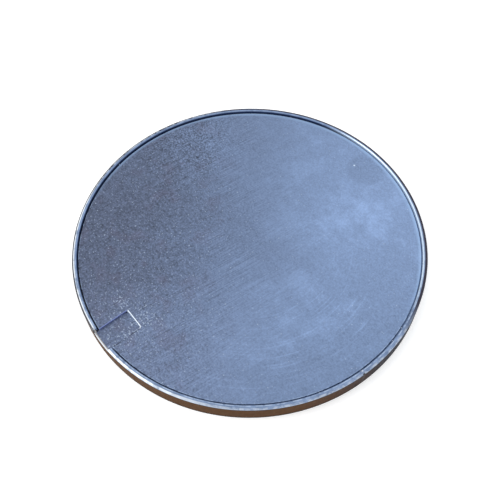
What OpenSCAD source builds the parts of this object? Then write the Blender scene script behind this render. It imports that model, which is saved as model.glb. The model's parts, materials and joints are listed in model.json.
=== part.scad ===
// Round sheet-steel manhole cover: a folded frame ring with a seat and a seal, and the flat
// lift-out cover that lies in it. The origin is the centre of the frame's base, +Z is up,
// and the lifting recess is on the -Y side.

/* [Frame] */
// Outside diameter of the frame
frame_d = 600; // [480:10:800]
// Height of the frame, from its base to the top of its rim
frame_h = 35; // [32:1:60]
// Thickness of the sheet that the frame is folded from
sheet_t = 2.5; // [1.5:0.1:3]
// Width of the folded rim across its top
rim_w = 8; // [7.5:0.5:12]
// Inside radius of the rim's two folds
fold_r = 0.6; // [0.2:0.1:0.7]
// Height of the lower edge of the rim's inner leg above the base
inner_leg_z = 12; // [8:1:15]
// Angle at which the frame band's two ends meet
band_seam_angle = -3.5; // [-10:0.5:10]

/* [Seat] */
// Thickness of the seat's flat ledge and of the rolled bar that it stands on
seat_t = 2.5; // [1.5:0.1:4]
// Width of the seat, from the rim's inner leg to the ledge's inner edge
ledge_w = 30; // [28:1:45]
// Diameter of the fixing holes through the ledge
fixing_hole_d = 7; // [5:0.5:8]
// Number of fixing holes
fixing_holes = 6; // [4:2:8]
// Distance from the ledge's inner edge to the centres of the fixing holes
fixing_hole_inset = 7; // [6:0.5:8]
// Angle at which the two ends of the seat's rolled bar meet
seat_seam_angle = 150; // [140:1:158]

/* [Seal] */
// Thickness of the seal strip under the cover's load
seal_t = 3; // [2:0.5:4]
// Width of the seal strip
seal_w = 14; // [10:0.5:17]
// Gap between the seal strip and the rim's inner leg
seal_edge_gap = 0.5; // [0.3:0.1:1.5]

/* [Cover plate] */
// Thickness of the cover plate
plate_t = 4; // [3:0.5:6]
// Depth of the plate's top below the top of the rim
plate_drop = 4.5; // [1:0.5:6]
// Width of the groove between the plate and the rim
groove_w = 2; // [1:0.1:3]
// Chamfer on the plate's upper edge
plate_chamfer = 0.5; // [0.2:0.1:1]

/* [Lifting recess] */
// Width of the recess
recess_w = 39; // [30:1:50]
// Length of the recess from the edge of the plate to its inner end
recess_l = 54; // [44:1:60]
// Radius of the recess's two inner corners
recess_corner_r = 4; // [2:0.5:8]
// Thickness of the recess's floor
recess_floor_t = 2; // [1.5:0.1:2.5]
// Width of the floor's lap under the plate
recess_lap = 8; // [6:0.5:12]
// Gap on each side of the recess's lip where it passes through the rim's notch
notch_side_gap = 2; // [0.5:0.5:4]
// Gap between the recess's lip and the frame's outer wall
lip_gap = 1.5; // [0.5:0.1:2.5]
// Depth of the frame's wall in the notch below the recess's floor
notch_step = 0.5; // [0:0.1:1]

/* [Centring skirt] */
// Gap between the skirt and the ledge's inner edge
skirt_gap = 3; // [1:0.5:6]
// Thickness of the skirt's flat bar
skirt_t = 3; // [2:0.5:5]
// Depth of the skirt's flat bar
skirt_h = 20; // [12:1:24]
// Gap on each side of the recess's floor where it crosses the skirt
skirt_slot_gap = 0.5; // [0.3:0.1:2]
// Angle at which the skirt's two ends meet
skirt_seam_angle = 45; // [40:1:50]

/* [Ribs] */
// Thickness of the ribs' flat bar
rib_t = 5; // [3:0.5:8]
// Depth of the ribs' flat bar
rib_h = 20; // [12:1:24]
// Distance between two parallel ribs
rib_spacing = 170; // [120:5:200]
// Extra width of each half-lap slot over the rib that it takes
lap_clear = 0.3; // [0.1:0.1:1]
// Gap between a rib's end and the skirt
rib_end_gap = 0.5; // [0.2:0.1:2]

/* [Welds] */
// Leg of the stitch welds under the cover
weld_leg = 3; // [2:0.5:4]
// Leg of the stitch welds inside the frame
frame_weld_leg = 2.4; // [1.5:0.1:3]
// Length of one stitch weld
stitch_l = 25; // [15:1:35]
// Number of stitch welds round the frame
frame_stitches = 12; // [12:12:24]
// Number of stitch places round the skirt
skirt_stitches = 12; // [12:12:12]
// Width of the butt welds that close the rolled rings
seam_w = 4; // [2:0.5:5]

/* [Hidden] */
$fn = 180;

steel = [0.52, 0.58, 0.68];
steel_light = [0.62, 0.68, 0.78];
weld_steel = [0.42, 0.42, 0.44];
seal_black = [0.07, 0.07, 0.08];

// A cut runs past the surface that it opens by this much
past = 1;
notch_angle = -90;

frame_r = frame_d / 2;
wall_in_r = frame_r - sheet_t;
rim_in_r = frame_r - rim_w;
inner_leg_out_r = rim_in_r + sheet_t;
bend_r = fold_r + sheet_t;

plate_top_z = frame_h - plate_drop;
plate_z = plate_top_z - plate_t;
plate_r = rim_in_r - groove_w;
ledge_top_z = plate_z - seal_t;
ledge_in_r = rim_in_r - ledge_w;
fixing_hole_pcd = 2 * (ledge_in_r + fixing_hole_inset);
leg_in_r = rim_in_r - seat_t;
seal_out_r = rim_in_r - seal_edge_gap;
seal_in_r = seal_out_r - seal_w;

recess_in_y = -(plate_r - recess_l);
recess_floor_z = plate_z - recess_floor_t;
lip_r = wall_in_r - lip_gap;
lap_half_w = recess_w / 2 + recess_lap;
lap_in_y = recess_in_y + recess_lap;
lap_out_r = seal_in_r - seal_edge_gap;
notch_w = recess_w + 2 * notch_side_gap;
notch_z = plate_z - notch_step;
seal_break_w = notch_w + 2 * notch_side_gap;

skirt_out_r = ledge_in_r - skirt_gap;
skirt_in_r = skirt_out_r - skirt_t;
skirt_z = plate_z - skirt_h;
skirt_slot_w = 2 * (lap_half_w + skirt_slot_gap);

rib_z = plate_z - rib_h;
rib_place = rib_spacing / 2;
rib_half_l = sqrt(pow(skirt_in_r, 2) - pow(rib_place + rib_t / 2, 2)) - rib_end_gap;
lap_w = rib_t + lap_clear;
lap_h = (rib_h + lap_clear) / 2;
end_weld_h = rib_h - 2 * weld_leg;
rib_stitch_places = [-0.8, -0.5, 0, 0.5, 0.8];

// A bar of the given width, centred on the ray at the given angle, that runs outwards from the axis
module ray_bar(angle, width, r_from, r_to, z_from, z_to) {
    rotate([0, 0, angle])
        translate([r_from, -width / 2, z_from])
            cube([r_to - r_from, width, z_to - z_from]);
}

// The bar that parts or fills a ring's seam
module seam_bar(angle) {
    ray_bar(angle, seam_w, ledge_in_r / 2, frame_r + past, -past, frame_h + past);
}

// A square with its two upper corners rounded, from the lower left corner
module arched_square(x, y, width, height, radius) {
    translate([x, y]) {
        square([width, height - radius]);
        translate([radius, 0])
            square([width - 2 * radius, height]);
        translate([radius, height - radius])
            circle(r = radius);
        translate([width - radius, height - radius])
            circle(r = radius);
    }
}

// A ring with no seam, folded over at the top, with an open fold inside the rim
module band_hoop() {
    rotate_extrude()
        difference() {
            arched_square(rim_in_r, 0, rim_w, frame_h, bend_r);
            arched_square(inner_leg_out_r, -past, rim_w - 2 * sheet_t, frame_h - sheet_t + past, fold_r);
            translate([rim_in_r - past, -past])
                square([wall_in_r - rim_in_r + past, inner_leg_z + past]);
        }
}

// The gap in the rim that the recess's lip passes through
module rim_notch() {
    cut_in_r = rim_in_r - rim_w;
    ray_bar(notch_angle, notch_w, cut_in_r, frame_r + past, notch_z, frame_h + past);
    intersection() {
        ray_bar(notch_angle, notch_w, cut_in_r, frame_r, ledge_top_z - seat_t, frame_h + past);
        cylinder(r = (inner_leg_out_r + wall_in_r) / 2, h = frame_h + past);
    }
}

module frame_band() {
    color(steel_light)
        difference() {
            band_hoop();
            rim_notch();
            seam_bar(band_seam_angle);
        }
}

module band_seam_weld() {
    color(weld_steel)
        intersection() {
            band_hoop();
            seam_bar(band_seam_angle);
        }
}

// A plain upright ring between two radii
module hoop(r_in, r_out, z_from, z_to) {
    difference() {
        translate([0, 0, z_from])
            cylinder(r = r_out, h = z_to - z_from);
        translate([0, 0, z_from - past])
            cylinder(r = r_in, h = z_to - z_from + 2 * past);
    }
}

module fixing_hole_cuts() {
    for (i = [0:fixing_holes - 1])
        rotate([0, 0, i * 360 / fixing_holes])
            translate([fixing_hole_pcd / 2, 0, ledge_top_z - seat_t - past])
                cylinder(d = fixing_hole_d, h = seat_t + 2 * past);
}

// A flat ring that carries the seal strip
module seat_ledge() {
    color(steel)
        difference() {
            hoop(ledge_in_r, leg_in_r, ledge_top_z - seat_t, ledge_top_z);
            fixing_hole_cuts();
        }
}

// A rolled flat bar that stands on the base and holds the ledge up
module seat_leg() {
    color(steel)
        difference() {
            hoop(leg_in_r, rim_in_r, 0, ledge_top_z);
            seam_bar(seat_seam_angle);
        }
}

module seat_seam_weld() {
    color(weld_steel)
        intersection() {
            hoop(leg_in_r, rim_in_r, 0, ledge_top_z);
            seam_bar(seat_seam_angle);
        }
}

// A fillet weld along an arc centred on the given angle. Its two legs run from the corner at (r, z)
module arc_fillet(angle, r, z, leg_r, leg_z) {
    arc = stitch_l / r * 180 / PI;
    rotate([0, 0, angle - arc / 2])
        rotate_extrude(angle = arc)
            polygon([[r, z], [r + leg_r, z], [r, z + leg_z]]);
}

// One arc fillet between each two neighbouring fixing angles of the frame
module frame_fillets(r, z, leg_r, leg_z) {
    color(weld_steel)
        for (i = [0:frame_stitches - 1])
            arc_fillet((i + 0.5) * 360 / frame_stitches, r, z, leg_r, leg_z);
}

module ledge_welds() {
    frame_fillets(leg_in_r, ledge_top_z - seat_t, -weld_leg, -weld_leg);
}

module seat_leg_welds() {
    frame_fillets(rim_in_r, inner_leg_z, frame_weld_leg, -frame_weld_leg);
}

module seal_strip() {
    break_in_r = seal_in_r - recess_lap;
    color(seal_black)
        difference() {
            hoop(seal_in_r, seal_out_r, ledge_top_z, plate_z);
            ray_bar(notch_angle, seal_break_w, break_in_r, frame_r, ledge_top_z - past, plate_z + past);
        }
}

// The recess's outline, from its inner end to past the plate's edge
module recess_outline() {
    translate([-recess_w / 2, -frame_r - past])
        square([recess_w, frame_r + past + recess_in_y - recess_corner_r]);
    translate([recess_corner_r - recess_w / 2, -frame_r - past])
        square([recess_w - 2 * recess_corner_r, frame_r + past + recess_in_y]);
    for (side = [-1, 1])
        translate([side * (recess_w / 2 - recess_corner_r), recess_in_y - recess_corner_r])
            circle(r = recess_corner_r);
}

module cover_plate() {
    color(steel)
        difference() {
            translate([0, 0, plate_z])
                rotate_extrude()
                    polygon([
                        [0, 0], [plate_r, 0], [plate_r, plate_t - plate_chamfer],
                        [plate_r - plate_chamfer, plate_t], [0, plate_t]
                    ]);
            translate([0, 0, plate_z - past])
                linear_extrude(plate_t + 2 * past)
                    recess_outline();
        }
}

// A sheet that laps under the plate, with a lip that reaches out through the rim's notch
module recess_floor() {
    color(steel)
        translate([0, 0, recess_floor_z]) {
            intersection() {
                translate([-recess_w / 2, -frame_r, 0])
                    cube([recess_w, frame_r + recess_in_y, recess_floor_t]);
                cylinder(r = lip_r, h = recess_floor_t);
            }
            intersection() {
                translate([-lap_half_w, -frame_r, 0])
                    cube([2 * lap_half_w, frame_r + lap_in_y, recess_floor_t]);
                cylinder(r = lap_out_r, h = recess_floor_t);
            }
        }
}

// A straight fillet weld under the plate. It runs along +X, and lies on the +Y side of its corner
module plate_fillet(length, leg_y, leg_z) {
    rotate([90, 0, 90])
        linear_extrude(length)
            polygon([[0, 0], [leg_y, 0], [0, -leg_z]]);
}

module recess_floor_weld() {
    side_l = sqrt(pow(skirt_in_r, 2) - pow(lap_half_w + recess_floor_t, 2)) + lap_in_y - weld_leg;
    color(weld_steel)
        translate([0, 0, plate_z]) {
            translate([-lap_half_w, lap_in_y, 0])
                plate_fillet(2 * lap_half_w, recess_floor_t, recess_floor_t);
            translate([lap_half_w, lap_in_y, 0])
                rotate([0, 0, -90])
                    plate_fillet(side_l, recess_floor_t, recess_floor_t);
            translate([-lap_half_w, lap_in_y - side_l, 0])
                rotate([0, 0, 90])
                    plate_fillet(side_l, recess_floor_t, recess_floor_t);
        }
}

// The skirt's ring with no seam, cut down where the recess's floor crosses it
module skirt_hoop() {
    difference() {
        hoop(skirt_in_r, skirt_out_r, skirt_z, plate_z);
        ray_bar(notch_angle, skirt_slot_w, skirt_in_r / 2, frame_r, recess_floor_z, plate_z + past);
    }
}

module centring_skirt() {
    color(steel)
        difference() {
            skirt_hoop();
            seam_bar(skirt_seam_angle);
        }
}

module skirt_seam_weld() {
    color(weld_steel)
        intersection() {
            skirt_hoop();
            seam_bar(skirt_seam_angle);
        }
}

module skirt_welds() {
    color(weld_steel)
        for (i = [0:skirt_stitches - 1])
            if (i * 360 / skirt_stitches != 360 + notch_angle)
                arc_fillet(i * 360 / skirt_stitches, skirt_in_r, plate_z, -weld_leg, -weld_leg);
}

// A rib along X through the origin. Its two half-lap slots open upwards, or downwards if slots_up is false
module rib_bar(slots_up) {
    slot_z = slots_up ? rib_z + rib_h - lap_h : rib_z - past;
    difference() {
        translate([-rib_half_l, -rib_t / 2, rib_z])
            cube([2 * rib_half_l, rib_t, rib_h]);
        for (side = [-1, 1])
            translate([side * rib_place - lap_w / 2, -rib_t / 2 - past, slot_z])
                cube([lap_w, rib_t + 2 * past, lap_h + past]);
    }
}

module rib_left() {
    color(steel)
        translate([-rib_place, 0, 0])
            rotate([0, 0, 90])
                rib_bar(false);
}

module rib_right() {
    color(steel)
        translate([rib_place, 0, 0])
            rotate([0, 0, 90])
                rib_bar(false);
}

module rib_front() {
    color(steel)
        translate([0, -rib_place, 0])
            rib_bar(true);
}

module rib_back() {
    color(steel)
        translate([0, rib_place, 0])
            rib_bar(true);
}

// The welds of a rib along X that lies rib_place from the axis: stitches on alternate sides of it,
// and an upright weld that fills the gap between each end and the skirt
module rib_stitches() {
    for (i = [0:len(rib_stitch_places) - 1])
        mirror([0, i % 2, 0])
            translate([rib_stitch_places[i] * rib_half_l - stitch_l / 2, rib_t / 2, plate_z])
                plate_fillet(stitch_l, weld_leg, weld_leg);
    difference() {
        intersection() {
            translate([-frame_r, -rib_t / 2, rib_z + weld_leg])
                cube([frame_d, rib_t, end_weld_h]);
            translate([0, -rib_place, rib_z])
                cylinder(r = skirt_in_r, h = rib_h);
        }
        translate([-rib_half_l, -rib_t, rib_z])
            cube([2 * rib_half_l, 2 * rib_t, rib_h]);
    }
}

module rib_left_welds() {
    color(weld_steel)
        translate([-rib_place, 0, 0])
            rotate([0, 0, 90])
                rib_stitches();
}

module rib_right_welds() {
    color(weld_steel)
        translate([rib_place, 0, 0])
            rotate([0, 0, -90])
                rib_stitches();
}

module rib_front_welds() {
    color(weld_steel)
        translate([0, -rib_place, 0])
            rotate([0, 0, 180])
                rib_stitches();
}

module rib_back_welds() {
    color(weld_steel)
        translate([0, rib_place, 0])
            rib_stitches();
}

// Upright fillets in two opposite corners of each half-lap
module rib_lap_welds() {
    color(weld_steel)
        for (x = [-rib_place, rib_place], y = [-rib_place, rib_place], turn = [0, 180])
            translate([x, y, rib_z + weld_leg])
                rotate([0, 0, turn])
                    translate([rib_t / 2, rib_t / 2, 0])
                        linear_extrude(end_weld_h)
                            polygon([[0, 0], [weld_leg, 0], [0, weld_leg]]);
}

frame_band();
band_seam_weld();
seat_ledge();
seat_leg();
seat_seam_weld();
ledge_welds();
seat_leg_welds();
seal_strip();
cover_plate();
recess_floor();
recess_floor_weld();
centring_skirt();
skirt_seam_weld();
skirt_welds();
rib_left();
rib_right();
rib_front();
rib_back();
rib_left_welds();
rib_right_welds();
rib_front_welds();
rib_back_welds();
rib_lap_welds();
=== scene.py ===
"""Looks for a round sheet-steel manhole cover in its folded frame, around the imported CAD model."""
import json
import math

import bmesh
import bpy
from mathutils import Matrix, Quaternion, Vector, noise


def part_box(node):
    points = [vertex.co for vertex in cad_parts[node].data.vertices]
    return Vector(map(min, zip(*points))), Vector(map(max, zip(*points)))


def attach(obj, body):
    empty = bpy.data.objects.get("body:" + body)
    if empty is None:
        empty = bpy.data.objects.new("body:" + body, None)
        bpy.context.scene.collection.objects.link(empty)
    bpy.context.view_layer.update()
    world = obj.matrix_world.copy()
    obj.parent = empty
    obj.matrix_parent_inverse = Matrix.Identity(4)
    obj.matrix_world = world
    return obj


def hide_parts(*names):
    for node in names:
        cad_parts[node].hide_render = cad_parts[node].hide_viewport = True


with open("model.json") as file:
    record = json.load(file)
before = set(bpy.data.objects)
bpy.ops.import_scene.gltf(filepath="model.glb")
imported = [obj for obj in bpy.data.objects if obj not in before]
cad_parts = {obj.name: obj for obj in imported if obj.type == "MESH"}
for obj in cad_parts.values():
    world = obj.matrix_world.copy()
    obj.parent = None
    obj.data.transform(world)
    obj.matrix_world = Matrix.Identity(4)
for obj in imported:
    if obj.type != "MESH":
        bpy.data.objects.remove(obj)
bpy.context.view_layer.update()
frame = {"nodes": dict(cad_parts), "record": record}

MM = 0.001

# Sizes that the new pieces share with the CAD model, all in metres
_, band_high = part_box("frame_band")
_, plate_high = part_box("cover_plate")
_, recess_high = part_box("recess_floor")
frame_r = band_high.x
frame_top = band_high.z
plate_r = plate_high.x
plate_top = plate_high.z
sheet_t = 2.5 * MM
rim_w = 8 * MM
fold_r = 0.6 * MM
bend_r = fold_r + sheet_t
inner_leg_z = 12 * MM
notch_half_w = 21.5 * MM
notch_side_y = -280 * MM
notch_reach = 35 * MM
notch_wall_z = recess_high.z - 0.5 * MM
notch_leg_z = 21 * MM
recess_half_w = 19.5 * MM
recess_end_y = -236 * MM
seam_middle = sum(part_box("band_seam_weld"), Vector()) / 2
seam_angle = math.atan2(seam_middle.y, seam_middle.x)
seam_half_w = 2 * MM
nick_angle = math.radians(-6.2)
nick_z = 9 * MM

# How finely the band is spun, how far it sways inwards, and how close two corners are one
band_steps = 420
band_sway = 0.25 * MM
same_place = 0.001 * MM


# ---------------------------------------------------------------- materials

class Value:
    """A socket of a material under construction; Python's operators on it add Math nodes."""

    def __init__(self, finish, socket):
        self.finish = finish
        self.socket = socket

    def maths(self, operation, *values):
        return self.finish.node("ShaderNodeMath", {"operation": operation}, dict(enumerate(values)))

    def __add__(self, other):
        return self.maths("ADD", self, other)

    __radd__ = __add__

    def __sub__(self, other):
        return self.maths("SUBTRACT", self, other)

    def __rsub__(self, other):
        return self.maths("SUBTRACT", other, self)

    def __mul__(self, other):
        return self.maths("MULTIPLY", self, other)

    def __truediv__(self, other):
        return self.maths("DIVIDE", self, other)

    def __pow__(self, other):
        return self.maths("POWER", self, other)

    def __abs__(self):
        return self.maths("ABSOLUTE", self)


class Finish:
    """A procedural material with one Principled shader."""

    def __init__(self, name):
        self.material = bpy.data.materials.new(name)
        self.material.use_nodes = True
        self.tree = self.material.node_tree
        self.shader = self.tree.nodes["Principled BSDF"]
        self.place = self.node("ShaderNodeTexCoord", {}, {}, "Object")
        parts = [self.node("ShaderNodeSeparateXYZ", {}, {0: self.place}, i) for i in range(3)]
        self.x, self.y, self.z = parts
        self.r = (self.x * self.x + self.y * self.y) ** 0.5
        self.angle = self.x.maths("ARCTAN2", self.y, self.x)

    def node(self, kind, settings, sockets, output=0):
        """Adds a node with those settings, feeds its sockets, and gives one output."""
        made = self.tree.nodes.new(kind)
        for key, setting in settings.items():
            setattr(made, key, setting)
        for key, value in sockets.items():
            self.feed(made.inputs[key], value)
        return Value(self, made.outputs[output])

    def feed(self, socket, value):
        """Links a value to a socket, or sets the socket to a number or a colour."""
        if isinstance(value, Value):
            self.tree.links.new(value.socket, socket)
        elif isinstance(value, tuple) and len(value) == 3 and socket.type == "RGBA":
            socket.default_value = (*value, 1)
        else:
            socket.default_value = value

    def noise(self, vector, scale, detail=3.0, roughness=0.5, distortion=0.0):
        return self.node("ShaderNodeTexNoise", {}, {
            "Vector": vector, "Scale": scale, "Detail": detail,
            "Roughness": roughness, "Distortion": distortion})

    def vector(self, x, y, z=0.0):
        return self.node("ShaderNodeCombineXYZ", {}, {0: x, 1: y, 2: z})

    def ease(self, value, low, high, low_to=0.0, high_to=1.0):
        """value taken smoothly from low..high to low_to..high_to, and held beyond."""
        return self.node("ShaderNodeMapRange", {"interpolation_type": "SMOOTHSTEP"}, {
            "Value": value, "From Min": low, "From Max": high, "To Min": low_to, "To Max": high_to})

    def beyond(self, low, high):
        """0 within the first radius about Z and 1 beyond the second, in mm; reversed if they are swapped."""
        return self.ease(self.r, low * MM, high * MM)

    def line(self, value, at, core, fade):
        """1 within core of the line where value is at, and 0 past fade, these two in mm."""
        return self.ease(abs(value - at), fade * MM, core * MM)

    def facing(self, degrees, low, high):
        """0 to 1 as a point's direction from the axis turns to that side, between two cosines."""
        return self.ease(self.toward(degrees) / self.r, low, high)

    def larger(self, first, second):
        return self.node("ShaderNodeMath", {"operation": "MAXIMUM"}, {0: first, 1: second})

    def mix(self, first, second, factor):
        return self.node("ShaderNodeMix", {"data_type": "RGBA"}, {0: factor, 6: first, 7: second}, 2)

    def dim(self, colour, factor):
        return self.node("ShaderNodeVectorMath", {"operation": "SCALE"}, {0: colour, "Scale": factor})

    def toward(self, degrees):
        """How far a point lies towards that side of the cover, in metres."""
        turn = math.radians(degrees)
        return self.x * math.cos(turn) + self.y * math.sin(turn)

    def spot(self, x, y, radius, soft, wobble=0.0, z=None):
        """1 inside a round patch, fading to 0 over soft."""
        dx, dy = self.x - x, self.y - y
        squared = dx * dx + dy * dy
        if z is not None:
            dz = self.z - z
            squared = squared + dz * dz
        distance = squared ** 0.5
        if wobble:
            distance = distance + (self.noise(self.place, 40, 2) - 0.5) * wobble
        return self.ease(distance, radius, radius + soft, 1.0, 0.0)

    def bump(self, height, distance, strength=1.0, normal=None):
        sockets = {"Strength": strength, "Distance": distance, "Height": height}
        if normal:
            sockets["Normal"] = normal
        return self.node("ShaderNodeBump", {}, sockets)

    def surface(self, **sockets):
        for name, value in sockets.items():
            self.feed(self.shader.inputs[name.replace("_", " ")], value)
        return self.material


def rubbed_streaks(m):
    """Fine streaks that run nearly along Y, as a value about zero, fading out towards the bright side."""
    fine = m.noise(m.vector(m.toward(174) * 520, m.toward(84) * 12), 1, 4, 0.6)
    across = m.toward(50) + abs(m.toward(140)) * 0.3
    patches = m.ease(m.noise(m.place, 11, 2), 0.34, 0.56)
    fade = m.ease(across, 0.16, -0.04, 0.12, 1.0) * m.ease(across, -0.27, -0.10)
    return (fine - 0.5) * patches * fade


def polish_marks(m, clouds):
    """Arcs that follow the rim on the right."""
    arcs = m.noise(m.vector(m.r * 300, m.angle * 1.6, 3.0), 1, 2, 0.6)
    where = m.ease(m.toward(-5), 0.06, 0.18) * m.beyond(288, 270) * m.ease(clouds, 0.40, 0.60)
    return m.ease(arcs, 0.50, 0.72) * where


def white_specks(m, colour):
    """Specks of white zinc, thickest by the recess and the dull edge, and one large one near the far edge."""
    pale, white = (0.40, 0.48, 0.62), (0.52, 0.62, 0.76)
    crowd = m.ease(m.toward(240), -0.08, 0.22, 0.0, 0.05) + m.spot(0.0, -0.25, 0.03, 0.06) * 0.035
    for x, y in ((-0.038, -0.236), (0.015, -0.252), (0.012, -0.223)):
        crowd = crowd + m.spot(x, y, 0.007, 0.014) * 0.06
    specks = m.ease(m.noise(m.place, 330, 1, 0.4) + crowd, 0.70, 0.80)
    lone = m.spot(-0.005, 0.2495, 0.0010, 0.0012)
    return m.mix(m.mix(colour, pale, specks * 0.7), white, lone)


def edge_glow_and_wear(m, colour):
    """The plate's outer edge: a painted highlight, a pale blue glow band on the far side that is wider
    towards the bright side, and rubbed pale in scraps on the other.
    """
    glow_blue, pale = (0.250, 0.365, 0.560), (0.36, 0.47, 0.66)
    far_side = m.facing(118, -0.25, 0.25)
    breadth = m.facing(100, 0.30, 0.90) * (1.6 * MM)
    # Painted highlight: the pale blue glow along the far edge
    edge = m.ease(m.r + breadth, 0.2835, 0.2892) * m.ease(m.noise(m.place, 55, 3), 0.15, 0.50) * far_side
    brim = m.beyond(288.4, 289.2) * m.ease(m.noise(m.place, 75, 3, 0.6), 0.40, 0.58) * (1 - far_side)
    return m.mix(m.mix(colour, glow_blue, edge * 0.85), pale, brim * 0.8)


def recess_wall_light_and_shade(m, colour):
    """The recess's walls in painted light and shade: a white highlight on the inner end, and on the far one a
    lavender highlight over blue shade.
    """
    white, blue, lavender = (0.84, 0.92, 1.0), (0.022, 0.036, 0.105), (0.42, 0.52, 0.86)
    lip_highlight_blue, shadow = (0.190, 0.240, 0.500), (0.022, 0.028, 0.050)
    in_recess = m.ease(abs(m.x), recess_half_w + 0.5 * MM, recess_half_w + 0.2 * MM)
    in_recess = in_recess * m.ease(m.y, recess_end_y + 1.0 * MM, recess_end_y + 0.4 * MM)
    wall = m.ease(m.z, plate_top - 0.2 * MM, plate_top - 0.5 * MM)

    # Painted highlight in white: the end wall, its lip, and the lip's turn round the corner on the right
    turn_r = 4 * MM
    end = m.line(m.y, recess_end_y, 0.8, 1.6)
    end = end * m.ease(m.x, recess_half_w - 1.0 * MM, recess_half_w - 3.5 * MM)
    end_lip_highlight = m.line(m.y, recess_end_y + 0.6 * MM, 0.4, 1.0)
    end_lip_highlight = end_lip_highlight * m.ease(m.x, recess_half_w - 2.5 * MM, recess_half_w - turn_r)
    dx, dy = m.x - (recess_half_w - turn_r), m.y - (recess_end_y - turn_r)
    corner = (dx * dx + dy * dy) ** 0.5
    turned_highlight = m.line(corner, turn_r + 0.4 * MM, 0.4, 0.9)
    turned_highlight = turned_highlight * m.ease(dx, 0.0, 0.8 * MM) * m.ease(dy, -1.0 * MM, 1.6 * MM)
    end_lip_highlight = m.larger(end_lip_highlight, turned_highlight) * m.ease(m.x, -recess_half_w - 0.1 * MM, 1.0 * MM - recess_half_w)
    colour = m.mix(colour, white, m.larger(end_lip_highlight, in_recess * wall * end))

    # The long sides: on the far wall a painted lavender highlight over painted blue shade, a painted
    # highlight along its lip, and a painted shadow line in scraps along the near lip
    far_wall = m.ease(m.x, 0.5 * MM - recess_half_w, 0.2 * MM - recess_half_w)
    far_wall_light_and_shade = m.mix(blue, lavender, m.ease(m.z, plate_top - 1.7 * MM, plate_top - 1.0 * MM))
    colour = m.mix(colour, far_wall_light_and_shade, in_recess * wall * far_wall * (1 - end))
    long_side = m.ease(m.y, recess_end_y + 1.0 * MM, recess_end_y - 2.5 * MM)
    far_lip_highlight = m.line(m.x, -recess_half_w - 0.5 * MM, 0.4, 0.9) * long_side
    colour = m.mix(colour, lip_highlight_blue, far_lip_highlight * 0.9)
    scraps = m.ease(m.noise(m.place, 130, 2), 0.42, 0.56)
    near_lip_shadow = m.line(m.x, recess_half_w + 0.7 * MM, 0.5, 1.2) * long_side * scraps
    return m.mix(colour, shadow, near_lip_shadow * 0.8)


def plate_finish(name, recess=False):
    """Blue-grey zinc with painted light: shaded, dull and grainy on one side, lit, hazy and bright on the
    other, with rubbed streaks.
    """
    shaded_zinc, lit_zinc = (0.089, 0.112, 0.178), (0.180, 0.257, 0.420)
    violet_stain = (0.118, 0.096, 0.150)
    m = Finish(name)
    clouds = m.noise(m.place, 8, 3)
    mottle = m.noise(m.place, 42, 3, 0.6)
    grain = m.noise(m.place, 300, 2, 0.8)
    coarse = m.noise(m.place, 150, 2, 0.6)
    # Painted light: the zinc runs from shaded towards 230 degrees to lit towards 50 degrees
    lit = m.ease(m.toward(50) + (clouds - 0.5) * 0.20 + (mottle - 0.5) * 0.05, -0.29, 0.20)
    streak = rubbed_streaks(m)

    # Grain stands out on the dull side, most of all in one patch at its far end
    grain_size = m.ease(lit, 0.0, 0.75, 2.0, 0.62) + m.spot(-0.235, 0.055, 0.02, 0.085) * 1.3
    # Painted light: lighter towards the near side on the shaded half
    near = m.ease(m.toward(-38), 0.0, 0.24) * (1 - lit) * 0.38
    level = 1 + (grain - 0.5) * grain_size + (coarse - 0.5) * grain_size * 0.5
    level = level + streak * 1.3 + polish_marks(m, clouds) * 0.20
    # Painted shade: darker towards 7 degrees, on the right
    level = level + (mottle - 0.5) * 0.20 + near - m.ease(m.toward(7), 0.10, 0.26) * 0.12

    # Pale haze on the right, and a smooth darker smudge beyond it
    haze = m.spot(0.0725, 0.165, 0.015, 0.085, 0.05) * m.ease(mottle, 0.3, 0.6)
    drift = m.ease(m.noise(m.place, 16, 4, 0.6), 0.50, 0.66) * m.ease(m.toward(40), -0.04, 0.14)
    smudge = m.spot(0.016, 0.260, 0.030, 0.010, 0.01)
    level = level + haze * 0.16 + drift * 0.15 - smudge * 0.12

    # Painted shade: the recess floor's colour is 4% darker than the plate's
    colour = m.dim(m.mix(shaded_zinc, lit_zinc, lit), level * (0.96 if recess else 1.0))
    violet = m.ease(m.noise(m.place, 26, 3), 0.52, 0.66) * m.ease(lit, 0.7, 0.2)
    colour = white_specks(m, m.mix(colour, violet_stain, violet * 0.20))
    if not recess:
        colour = recess_wall_light_and_shade(m, edge_glow_and_wear(m, colour))

    dents = m.bump(m.noise(m.place, 9, 2), 1.2 * MM, 0.35)
    normal = m.bump(grain * 0.5 + coarse * 0.5 + streak * 0.4, 0.12 * MM, 0.6, dents)
    rough = 0.50 + (mottle - 0.5) * 0.15 - streak * 0.2 + (grain - 0.5) * 0.15
    rough = rough + m.ease(lit, 0, 1, 0.04, -0.05)
    return m.surface(Base_Color=colour, Metallic=0.55, Roughness=rough, Normal=normal)


def rim_top(m, colour, worn, dull):
    """The fold's top: a rubbed crest, an outer bend knocked white in spots, and painted shade in dull grey on
    the far left.
    """
    crest_blue, knocked, shaded_grey, fleck = (
        (0.50, 0.60, 0.76), (0.50, 0.56, 0.66), (0.036, 0.033, 0.050), (0.40, 0.44, 0.50))
    crest = m.line(m.r, 294.2 * MM, 0.4, 1.0) * m.ease(m.noise(m.place, 90, 3, 0.6), 0.42, 0.58)
    colour = m.mix(colour, crest_blue, crest * m.facing(-40, -0.1, 0.5) * 0.7)
    knocks = m.beyond(296.6, 298.4) * worn * m.facing(-45, -0.2, 0.4)
    colour = m.mix(colour, knocked, knocks * 0.8)
    flecks = worn * m.facing(195, 0.60, 0.90)
    return m.mix(colour, m.mix(shaded_grey, fleck, flecks), dull)


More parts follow.
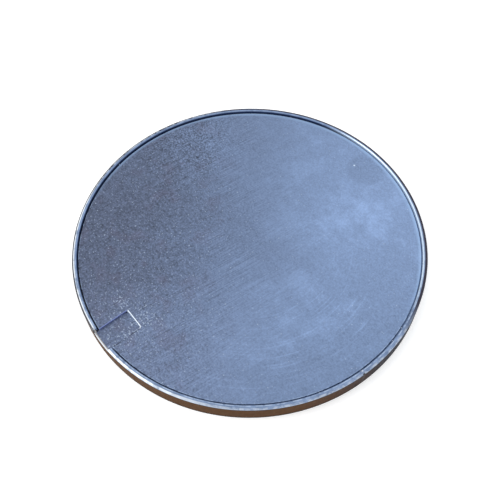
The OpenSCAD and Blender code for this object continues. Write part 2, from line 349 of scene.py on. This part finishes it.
def rim_inside_shade_and_highlight(m, colour, inside):
    """The fold's inner face: painted shade, dark navy in the groove, and a painted highlight, bright on the
    right, as on its slope.
    """
    near_shade_navy, far_shade_navy, bright, white = (
        (0.055, 0.095, 0.210), (0.018, 0.036, 0.105), (0.62, 0.76, 0.92), (0.72, 0.84, 0.96))
    # Painted shade in navy, darkest on the far side, and a painted highlight, bright and white, on the right
    shade_navy = m.mix(near_shade_navy, far_shade_navy, m.facing(150, -0.05, 0.45))
    groove = m.mix(shade_navy, bright, m.facing(62, 0.60, 0.90))
    colour = m.mix(colour, groove, inside * 0.95)
    return m.mix(colour, white, m.line(m.r, 292.9 * MM, 0.5, 1.1) * m.facing(66, 0.70, 0.90))


def side_reflection_dirt_and_shade(m, mottle):
    """The upright side: a painted reflection, brown on the near side, then grey-brown and grey to the right
    and pale at the near left, with a dark foot and a painted shadow under the fold.
    """
    reflected_grey_brown, brown, pale, dusty = (
        (0.016, 0.016, 0.026), (0.078, 0.031, 0.007), (0.110, 0.104, 0.102), (0.085, 0.078, 0.076))
    # Painted reflection: the side's tone by direction
    reflected_tone = m.mix(reflected_grey_brown, brown, m.facing(-62, 0.30, 0.86))
    reflected_tone = m.mix(reflected_tone, pale, m.facing(-128, 0.86, 0.97))
    reflected_tone = m.mix(reflected_tone, dusty, m.facing(142, -0.25, 0.35))
    runs = m.noise(m.vector(m.angle * 60, m.z * 60, 0.0), 1, 4, 0.6)
    reflected_tone = m.dim(reflected_tone, 0.68 + runs * 0.62)
    foot = m.ease(m.z + (mottle - 0.5) * (4 * MM), 0.0045, 0.0015)
    # Painted shadow: darker at the top of the side, under the fold
    lip = m.ease(m.z, 0.0290, 0.0312)
    return m.dim(reflected_tone, (1 - foot * 0.85) * (1 - lip * 0.5))


def rim_finish(name):
    """Zinc on a folded band: rubbed bright in spots and painted with highlights and shade over the rim, with
    a painted brown and grey reflection down its side.
    """
    m = Finish(name)
    mottle = m.noise(m.place, 60, 4, 0.6)
    grain = m.noise(m.place, 330, 3, 0.7)
    worn = m.ease(m.noise(m.vector(m.angle * 34, m.z * 150, m.r * 150), 1, 4, 0.7), 0.40, 0.60)
    blue = m.mix((0.155, 0.215, 0.345), (0.235, 0.315, 0.480), m.ease(mottle, 0.35, 0.62))
    white = m.mix((0.34, 0.42, 0.55), (0.86, 0.92, 0.98), m.ease(mottle, 0.32, 0.50))

    # Painted highlight: white over the outer half of the rim at the near left, ending in a thin dark line of
    # painted reflection
    left = m.facing(216, 0.52, 0.68)
    outer_half = m.ease(m.r + left * (1.0 * MM), 0.2962, 0.2971)
    pale = m.larger(m.facing(-118, 0.10, 0.80), m.facing(165, 0.20, 0.80) * 0.3) * outer_half
    # Painted shade: dull dark grey over the outer rim on the far side, towards 115 degrees
    dull = m.beyond(294.9, 295.7) * m.facing(115, -0.25, 0.05)
    colour = rim_top(m, m.mix(blue, white, pale), worn, dull)
    # Painted reflection: the thin dark line along the outer bend at the near left
    colour = m.mix(colour, (0.052, 0.050, 0.055), left * m.beyond(297.0, 297.8))

    inside = m.beyond(293.2, 292.4) * m.ease(m.z, 0.0342, 0.0330)
    colour = rim_inside_shade_and_highlight(m, colour, inside)
    side = m.beyond(299.2, 299.8) * m.ease(m.z, 0.0330, 0.0315)
    colour = m.mix(colour, side_reflection_dirt_and_shade(m, mottle), side)

    # The wall's cut edge in the notch is bare and bright, and a black spot beside the seam is painted shade
    # in a nick
    bare_steel, black = (0.80, 0.84, 0.88), (0.008, 0.007, 0.008)
    sill = m.ease(abs(m.x), notch_half_w, notch_half_w - 0.3 * MM)
    sill = sill * m.ease(m.y, notch_side_y, notch_side_y - 5 * MM)
    sill = sill * m.line(m.z, notch_wall_z, 0.2, 0.4) * m.beyond(299.4, 299.0)
    colour = m.mix(colour, bare_steel, sill)
    nick_x, nick_y = frame_r * math.cos(nick_angle), frame_r * math.sin(nick_angle)
    nick_shade = m.spot(nick_x, nick_y, 2.0 * MM, 1.2 * MM, z=nick_z)
    colour = m.mix(colour, black, nick_shade * 0.95)

    colour = m.dim(colour, 1 + (grain - 0.5) * 0.35)
    rough = 0.36 + (mottle - 0.5) * 0.25 + side * 0.28 + inside * 0.2 + dull * 0.3
    metal = 0.6 - side * 0.5 - dull * (1 - side) * 0.6
    return m.surface(Base_Color=colour, Metallic=metal, Roughness=rough, Specular_IOR_Level=0.1,
                     Normal=m.bump(grain * 0.5 + mottle * 0.8, 0.18 * MM, 0.6))


def bar_finish(name, colour_low, colour_high, scale=1.0):
    """Dull zinc on the parts underneath, with white bloom in patches."""
    m = Finish(name)
    mottle = m.noise(m.place, 38 * scale, 5, 0.65)
    grain = m.noise(m.place, 300, 3, 0.7)
    colour = m.mix(colour_low, colour_high, m.ease(mottle, 0.35, 0.65))
    bloom = m.ease(m.noise(m.place, 85, 4, 0.7), 0.56, 0.70)
    colour = m.mix(colour, (0.56, 0.58, 0.60), bloom * 0.5)
    colour = m.dim(colour, 0.82 + grain * 0.36)
    rough = 0.46 + (mottle - 0.5) * 0.3
    return m.surface(Base_Color=colour, Metallic=0.7, Roughness=rough,
                     Normal=m.bump(grain * 0.4 + mottle, 0.2 * MM, 0.6))


def weld_finish(name, ground=False):
    """Bare weld metal with a brown and blue heat tint, or ground flush and rubbed bright over the rim."""
    m = Finish(name)
    mottle = m.noise(m.place, 120, 4, 0.65)
    ripple = m.noise(m.place, 420, 2, 0.5, 0.8)
    metal, rough = 0.75, 0.42 + (mottle - 0.5) * 0.3
    if ground:
        blue, brown = (0.155, 0.210, 0.330), (0.040, 0.030, 0.028)
        side = m.beyond(298.4, 299.4)
        colour = m.mix((0.20, 0.24, 0.33), (0.66, 0.72, 0.84), m.ease(mottle, 0.38, 0.62))
        # Painted reflection: the brown down its side, as on the band's side
        colour = m.mix(m.mix(colour, blue, m.beyond(294.6, 295.8) * 0.85), brown, side)
        metal, rough = 0.6 - side * 0.6, rough + side * 0.3
    else:
        heat_tint = (0.20, 0.13, 0.08)
        colour = m.mix((0.12, 0.11, 0.11), (0.36, 0.35, 0.35), m.ease(mottle, 0.35, 0.65))
        colour = m.mix(colour, heat_tint, m.ease(m.noise(m.place, 30, 2), 0.48, 0.62) * 0.45)
    return m.surface(Base_Color=colour, Metallic=metal, Roughness=rough, Specular_IOR_Level=0.25,
                     Normal=m.bump(ripple + mottle * 0.5, 0.2 * MM, 0.6))


def seal_finish(name):
    """Matt black rubber, dusty in patches."""
    m = Finish(name)
    dust = m.ease(m.noise(m.place, 70, 5, 0.7), 0.48, 0.72)
    grain = m.noise(m.place, 500, 2)
    colour = m.mix((0.014, 0.014, 0.016), (0.075, 0.072, 0.068), dust * 0.6)
    # Painted light: the seal's outer edge in the groove is painted zinc blue, most on the right, so the
    # groove reads lighter there
    colour = m.mix(colour, (0.16, 0.23, 0.38), m.beyond(288.8, 289.6) * m.facing(35, -0.3, 0.9))
    return m.surface(Base_Color=colour, Roughness=0.72 + (grain - 0.5) * 0.2,
                     Normal=m.bump(grain, 0.1 * MM, 0.5))


def floor_finish(name):
    """Matt white paper that glows a little, so that it stays pale right up to the band."""
    m = Finish(name)
    paper = m.noise(m.place, 3, 2)
    return m.surface(Base_Color=m.mix((0.90, 0.90, 0.90), (0.92, 0.92, 0.92), paper), Roughness=0.9,
                     Emission_Color=(1.0, 1.0, 1.0), Emission_Strength=0.32)


finishes = {
    "rim_steel": rim_finish("rim_steel"),
    "frame_steel": bar_finish("frame_steel", (0.19, 0.20, 0.23), (0.34, 0.36, 0.40)),
    "seam_weld": weld_finish("seam_weld", ground=True),
    "weld_steel": weld_finish("weld_steel"),
    "seal_rubber": seal_finish("seal_rubber"),
    "plate_steel": plate_finish("plate_steel"),
    "recess_steel": plate_finish("recess_steel", recess=True),
    "bar_steel": bar_finish("bar_steel", (0.22, 0.24, 0.27), (0.38, 0.40, 0.44), 1.3),
}
node_slots = {row["node"]: row["material_slot"] for row in frame["record"]["subparts"]}
for node, cad in frame["nodes"].items():
    cad.data.materials.clear()
    cad.data.materials.append(finishes[node_slots[node]])


# ---------------------------------------------------------------- pieces

def add_piece(name, bm, body, slot, *nodes, sharp=35):
    """Turns the bmesh into a piece that rides on the body and stands for the CAD nodes."""
    bmesh.ops.recalc_face_normals(bm, faces=bm.faces)
    for face in bm.faces:
        face.smooth = True
    for edge in bm.edges:
        if len(edge.link_faces) == 2 and edge.calc_face_angle(0) > math.radians(sharp):
            edge.smooth = False
    mesh = bpy.data.meshes.new(name)
    bm.to_mesh(mesh)
    bm.free()
    piece = bpy.data.objects.new(name, mesh)
    bpy.context.scene.collection.objects.link(piece)
    mesh.materials.append(finishes[slot])
    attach(piece, body)
    if nodes:
        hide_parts(*nodes)
    return piece


def bend(cx, cz, radius, start, end, steps=7):
    """Points of an arc in the section, angles in degrees."""
    turns = [math.radians(start + (end - start) * i / steps) for i in range(steps + 1)]
    return [(cx + radius * math.cos(t), cz + radius * math.sin(t)) for t in turns]


def spin_section(bm, points, start, sweep, steps):
    """Spins a closed section of (radius, height) points about Z from one angle over another."""
    verts = [bm.verts.new((r * math.cos(start), r * math.sin(start), z)) for r, z in points]
    edges = [bm.edges.new((a, b)) for a, b in zip(verts, verts[1:] + verts[:1])]
    bmesh.ops.spin(bm, geom=verts + edges, cent=(0, 0, 0), axis=(0, 0, 1), dvec=(0, 0, 0),
                   angle=sweep, steps=steps, use_merge=False, use_duplicate=False)


def make_band():
    """The rolled band, folded over at the top, open below the fold, and cut down at the notch."""
    wall_in_r = frame_r - sheet_t
    rim_in_r = frame_r - rim_w
    leg_out_r = rim_in_r + sheet_t
    outer, inner = frame_r - bend_r, rim_in_r + bend_r
    bend_z = frame_top - bend_r
    section = [(frame_r, 0.0), (frame_r, notch_wall_z)]
    section += bend(outer, bend_z, bend_r, 0, 90)
    section += bend(inner, bend_z, bend_r, 90, 180)
    section += [(rim_in_r, notch_leg_z), (rim_in_r, inner_leg_z)]
    section += [(leg_out_r, inner_leg_z), (leg_out_r, notch_leg_z)]
    section += bend(inner, bend_z, fold_r, 180, 90, 3)
    section += bend(outer, bend_z, fold_r, 90, 0, 3)
    section += [(wall_in_r, notch_wall_z), (wall_in_r, 0.0)]

    bm = bmesh.new()
    seam_half = math.asin(seam_half_w / (frame_r - rim_w / 2))
    spin_section(bm, section, seam_angle + seam_half, 2 * math.pi - 2 * seam_half, band_steps)
    bmesh.ops.holes_fill(bm, edges=[e for e in bm.edges if e.is_boundary])

    # A hand-rolled band isn't quite true, except by the notch and the seam
    for v in bm.verts:
        turn = math.atan2(v.co.y, v.co.x)
        clear = abs(turn + math.pi / 2) > 0.12 and abs(turn - seam_angle) > 0.02
        if clear and v.co.z > notch_wall_z + 1 * MM:
            sway = noise.noise(Vector((5 * math.cos(turn), 5 * math.sin(turn), 0.3)))
            shift = 1 - band_sway * abs(sway) / frame_r
            v.co.x *= shift
            v.co.y *= shift

    # The notch: slice along its two sides, take the faces above its floor away, and close the cut walls
    for side in (-1, 1):
        near = [v for v in bm.verts if v.co.y < notch_side_y and abs(v.co.x) < notch_reach]
        geom = set(near)
        for v in near:
            geom.update(v.link_edges)
            geom.update(v.link_faces)
        bmesh.ops.bisect_plane(bm, geom=list(geom), dist=0.1 * same_place,
                               plane_co=(side * notch_half_w, 0, 0), plane_no=(1, 0, 0))
    cut = []
    for face in bm.faces:
        middle = face.calc_center_median()
        if middle.y < notch_side_y and abs(middle.x) < notch_half_w:
            in_wall = math.hypot(middle.x, middle.y) > (wall_in_r + leg_out_r) / 2
            floor_z = notch_wall_z if in_wall else notch_leg_z
            if middle.z > floor_z + same_place:
                cut.append(face)
    bmesh.ops.delete(bm, geom=cut, context="FACES")
    for level in (notch_wall_z, notch_leg_z):
        rims = [e for e in bm.edges
                if e.is_boundary and all(abs(v.co.z - level) < same_place for v in e.verts)]
        bmesh.ops.bridge_loops(bm, edges=rims)
    bmesh.ops.holes_fill(bm, edges=[e for e in bm.edges if e.is_boundary])
    bmesh.ops.triangulate(bm, faces=[f for f in bm.faces if len(f.verts) > 4])
    return add_piece("rim_band", bm, "frame", "rim_steel", "frame_band")


def split_solids(bm):
    """The corners of each separate solid in a mesh, in a fixed order."""
    left, found = set(bm.verts), []
    while left:
        batch, solid = [left.pop()], []
        while batch:
            v = batch.pop()
            solid.append(v)
            for edge in v.link_edges:
                other = edge.other_vert(v)
                if other in left:
                    left.remove(other)
                    batch.append(other)
        found.append(solid)
    return sorted(found, key=lambda solid: [round(sum(v.co[i] for v in solid), 3) for i in range(3)])


def read_station(trio):
    """The corner of a right-angled section, and its two legs with the flatter one first."""
    def slant(p):
        a, b = (q - p for q in trio if q is not p)
        return abs(a.normalized().dot(b.normalized()))

    corner = min(trio, key=slant)
    legs = [q - corner for q in trio if q is not corner]
    return corner, *sorted(legs, key=lambda leg: (round(abs(leg.z), 4), round(abs(leg.x), 4)))


def add_bead(bm, stations, ripple=3 * MM, run_out=5 * MM, fill=0.90, depth=0.08, crown=0.22):
    """A rippled, crowned fillet through sections that each have a corner and two legs.

    Its legs are that share of the section's, less or more by the ripple's depth, and shorter over
    run_out at both ends.
    """
    reach = [0.0]
    for near, far in zip(stations, stations[1:]):
        reach.append(reach[-1] + (far[0] - near[0]).length)
    length = reach[-1]
    steps = 4 * round(length / ripple)
    turns = [math.pi / 2 * k / 3 for k in range(4)]
    rings = []
    for i in range(steps + 1):
        along = length * i / steps
        k = max(j for j in range(len(reach) - 1) if reach[j] <= along)
        share = (along - reach[k]) / (reach[k + 1] - reach[k])
        corner, leg_a, leg_b = (a.lerp(b, share) for a, b in zip(stations[k], stations[k + 1]))
        size = fill - depth * math.cos(2 * math.pi * along / ripple)
        size *= min(1, 0.55 + min(along, length - along) / run_out)
        curve = [corner + (leg_a * math.cos(t) + leg_b * math.sin(t)) * size * (1 - crown * math.sin(2 * t))
                 for t in turns]
        rings.append([bm.verts.new(point) for point in [corner] + curve])
    for first, last in zip(rings, rings[1:]):
        for k in range(5):
            bm.faces.new((first[k], first[k - 1], last[k - 1], last[k]))
    bm.faces.new(rings[0])
    bm.faces.new(rings[-1])


def make_beads(node, body):
    """Rippled beads in the place of a CAD node's three-sided stitches. Its other solids stay plain."""
    bm = bmesh.new()
    bm.from_mesh(frame["nodes"][node].data)
    bmesh.ops.remove_doubles(bm, verts=bm.verts, dist=same_place)
    for solid in split_solids(bm):
        places = [v.co.copy() for v in solid]
        spans = [max(p[i] for p in places) - min(p[i] for p in places) for i in range(3)]
        curved = len(places) == 12 and spans[2] < 4 * MM
        if not curved and len(places) != 6:
            continue
        if curved:
            middle = sum(places, Vector())
            facing = math.atan2(middle.y, middle.x)
            places.sort(key=lambda p: math.remainder(math.atan2(p.y, p.x) - facing, 2 * math.pi))
        else:
            run = spans.index(max(spans))
            places.sort(key=lambda p: p[run])
        bmesh.ops.delete(bm, geom=solid, context="VERTS")
        add_bead(bm, [read_station(places[i:i + 3]) for i in range(0, len(places), 3)])
    return add_piece(node + "_beads", bm, body, "weld_steel", node, sharp=50)


def make_drips(*degrees):
    """Drips of zinc that stand across the groove, a hair clear of the plate."""
    bm = bmesh.new()
    spread = Matrix.Diagonal((1.0 * MM, 1.1 * MM, 1.6 * MM, 1))
    stand = Matrix.Translation((plate_r + 1.25 * MM, 0, plate_top - 1.2 * MM))
    for turn in degrees:
        place = Matrix.Rotation(math.radians(turn), 4, "Z") @ stand
        bmesh.ops.create_icosphere(bm, subdivisions=1, radius=1, matrix=place @ spread)
    return add_piece("groove_drips", bm, "frame", "seam_weld", sharp=80)


make_band()
for node in ("ledge_welds", "seat_leg_welds"):
    make_beads(node, "frame")
for seam in ("skirt", "rib_left", "rib_right", "rib_front", "rib_back", "rib_lap"):
    make_beads(seam + "_welds", "cover")
make_drips(16.4, 11.0, -3.5, -17.9, 125.3, 196.2)


# ---------------------------------------------------------------- floor, light and camera

def make_floor(half_width=6):
    """A pale floor at the height of the frame's foot."""
    bm = bmesh.new()
    bmesh.ops.create_grid(bm, x_segments=8, y_segments=8, size=half_width)
    mesh = bpy.data.meshes.new("floor")
    bm.to_mesh(mesh)
    bm.free()
    floor = bpy.data.objects.new("floor", mesh)
    bpy.context.scene.collection.objects.link(floor)
    mesh.materials.append(floor_finish("pale_floor"))


def add_softbox(name, place, width, height, power, colour):
    """A soft rectangular lamp aimed at the middle of the frame's foot."""
    lamp = bpy.data.lights.new(name, "AREA")
    lamp.shape = "RECTANGLE"
    lamp.size = width
    lamp.size_y = height
    lamp.energy = power
    lamp.color = colour
    box = bpy.data.objects.new(name, lamp)
    bpy.context.scene.collection.objects.link(box)
    box.location = place
    box.rotation_euler = Vector(place).to_track_quat("Z", "Y").to_euler()


def set_world(colour, strength):
    world = bpy.data.worlds.new("studio")
    world.use_nodes = True
    background = world.node_tree.nodes["Background"]
    background.inputs["Color"].default_value = (*colour, 1)
    background.inputs["Strength"].default_value = strength
    bpy.context.scene.world = world


def set_camera(distance=1.2):
    """A camera that looks down at the middle of the rim, rolled a little."""
    lens = bpy.data.cameras.new("camera")
    lens.lens = 50.875
    lens.sensor_width = 36
    lens.shift_x = 0.00102
    lens.shift_y = -0.02318
    camera = bpy.data.objects.new("camera", lens)
    bpy.context.scene.collection.objects.link(camera)
    turn, rise, roll = math.radians(52), math.radians(57.05), math.radians(-1.03)
    away = Vector((math.sin(turn) * math.cos(rise), -math.cos(turn) * math.cos(rise), math.sin(rise)))
    camera.location = Vector((0, 0, frame_top)) + away * distance
    camera.rotation_euler = (away.to_track_quat("Z", "Y") @ Quaternion((0, 0, 1), roll)).to_euler()
    bpy.context.scene.camera = camera


make_floor()
set_world((0.97, 0.985, 1.0), 0.95)
add_softbox("key_left", (-0.9, -1.9, 1.5), 1.6, 1.2, 26, (1.0, 1.0, 1.0))
add_softbox("back_right", (-0.1, 1.6, 1.7), 1.4, 1.0, 8, (0.92, 0.96, 1.0))
set_camera()
bpy.context.scene.view_settings.view_transform = "Standard"
